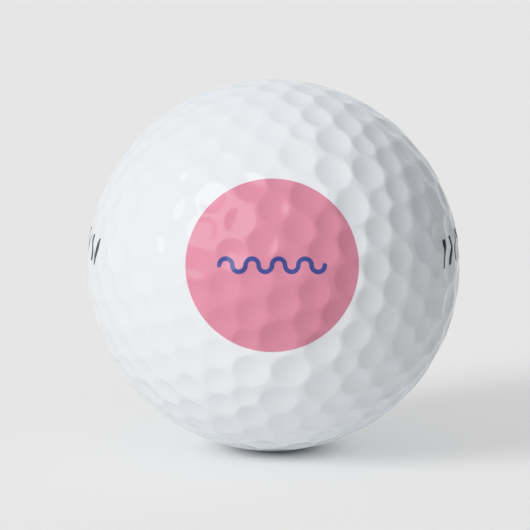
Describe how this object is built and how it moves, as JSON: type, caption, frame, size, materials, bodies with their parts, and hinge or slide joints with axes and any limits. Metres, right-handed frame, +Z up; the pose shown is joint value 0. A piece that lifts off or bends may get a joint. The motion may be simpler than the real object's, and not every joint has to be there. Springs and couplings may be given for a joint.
{
  "type": "golf ball",
  "caption": "Golf ball with a dimpled white cover over a rubber core, a round pink print facing forward, a blue wave motif and grey ticks on each side.",
  "frame": {"origin": "centre of the ball", "axes": "+Z up through the top of the ball as it rests, -Z down to the point that sits in a tee's cup, -Y towards the side with the printed disc, +X to the right of someone facing the disc"},
  "size_m": [0.0426, 0.0426, 0.0426],
  "materials": {
    "core_rubber": "matte, cured rubber",
    "cover": "gloss white cover under a clear coat",
    "pink_ink": "pad-printed ink under the clear coat",
    "blue_ink": "pad-printed ink under the clear coat",
    "grey_ink": "pad-printed ink under the clear coat"
  },
  "bodies": {
    "root": {"core": "core_rubber", "cover_cup_left": "cover", "cover_cup_right": "cover", "disc_print": "pink_ink", "wave_print": "blue_ink", "tick_print_left": "grey_ink", "tick_print_right": "grey_ink"}
  },
  "joints": []
}
